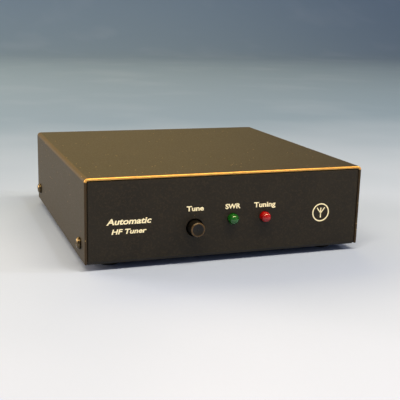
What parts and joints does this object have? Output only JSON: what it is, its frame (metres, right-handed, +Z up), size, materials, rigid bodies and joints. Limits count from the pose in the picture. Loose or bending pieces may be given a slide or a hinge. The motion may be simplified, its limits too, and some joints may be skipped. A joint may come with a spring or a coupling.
{
  "type": "antenna tuner",
  "caption": "Small automatic antenna tuner in a black sheet-metal case, with a tune button and two lamps on the front and coaxial sockets on the back.",
  "frame": {"origin": "centre of the whole object's footprint, on the surface its feet stand on", "axes": "+Z up; the front with the button and lamps faces -Y, the sockets face +Y, and +X is to the right seen from the front"},
  "size_m": [0.1436, 0.1612, 0.0434],
  "materials": {
    "black_powder": "satin",
    "black_screw": "satin",
    "foot_rubber": "matte",
    "circuit_board": "satin",
    "zinc_steel": "satin",
    "button_plastic": "satin",
    "black_plastic": "satin",
    "white_plastic": "satin",
    "green_lens": "gloss",
    "red_lens": "gloss",
    "nickel_plate": "polished",
    "contact_metal": "satin",
    "relay_plastic": "satin",
    "wound_core": "satin",
    "ferrite": "matte",
    "chip_plastic": "matte",
    "legend_ink": "matte"
  },
  "bodies": {
    "case": {"base_chassis": "black_powder", "top_cover": "black_powder", "cover_screw_front_left": "black_screw", "cover_screw_front_right": "black_screw", "cover_screw_rear_left": "black_screw", "cover_screw_rear_right": "black_screw", "foot_front_left": "foot_rubber", "foot_front_right": "foot_rubber", "foot_rear_left": "foot_rubber", "foot_rear_right": "foot_rubber", "main_board": "circuit_board", "standoff_front_left": "zinc_steel", "standoff_front_right": "zinc_steel", "standoff_rear_left": "zinc_steel", "standoff_rear_right": "zinc_steel", "board_screw_front_left": "zinc_steel", "board_screw_front_right": "zinc_steel", "board_screw_rear_left": "zinc_steel", "board_screw_rear_right": "zinc_steel", "ground_post": "zinc_steel", "ground_nut": "zinc_steel", "tune_switch_spring": "zinc_steel", "tune_switch_housing": "black_plastic", "swr_lamp_holder": "black_plastic", "tuning_lamp_holder": "black_plastic", "power_jack_housing": "black_plastic", "control_jack_housing": "black_plastic", "antenna_socket_insulator": "white_plastic", "transmitter_socket_insulator": "white_plastic", "swr_lamp": "green_lens", "tuning_lamp": "red_lens", "antenna_socket_shell": "nickel_plate", "antenna_socket_screw_1": "nickel_plate", "antenna_socket_screw_2": "nickel_plate", "antenna_socket_screw_3": "nickel_plate", "antenna_socket_screw_4": "nickel_plate", "antenna_socket_contact": "contact_metal", "transmitter_socket_shell": "nickel_plate", "transmitter_socket_screw_1": "nickel_plate", "transmitter_socket_screw_2": "nickel_plate", "transmitter_socket_screw_3": "nickel_plate", "transmitter_socket_screw_4": "nickel_plate", "transmitter_socket_contact": "contact_metal", "power_jack_pin": "nickel_plate", "control_jack_nut": "nickel_plate", "capacitor_relays": "relay_plastic", "inductor_relays": "relay_plastic", "inductor_1": "wound_core", "inductor_2": "wound_core", "inductor_3": "wound_core", "inductor_4": "wound_core", "inductor_5": "wound_core", "inductor_6": "wound_core", "inductor_7": "wound_core", "coupler_transformer": "ferrite", "controller_chip": "chip_plastic"},
    "tune_button": {"tune_button_cap": "button_plastic", "tune_switch_plunger": "white_plastic"},
    "ground_washer": {"ground_washer": "zinc_steel"},
    "ground_wing_nut": {"ground_wing_nut": "zinc_steel"}
  },
  "joints": [
    {"name": "tune_button_press", "type": "slide", "parent": "case", "child": "tune_button", "axis": [0, 1, 0], "range_m": [0, 0.0025], "stiffness_N_per_m": 600, "springref_m": -0.0013, "deforming": ["tune_switch_spring"]},
    {"name": "ground_nut_travel", "type": "slide", "parent": "case", "child": "ground_washer", "axis": [0, 1, 0], "range_m": [0, 0.00794]},
    {"name": "ground_nut_turn", "type": "hinge", "parent": "ground_washer", "child": "ground_wing_nut", "pos_m": [-0.016, 0.067, 0.02314], "axis": [0, 1, 0], "range_deg": [0, 3600]}
  ],
  "couplings": [
    {"joint": "ground_nut_turn", "follows": "ground_nut_travel", "rad_per_m": 7915.8}
  ]
}
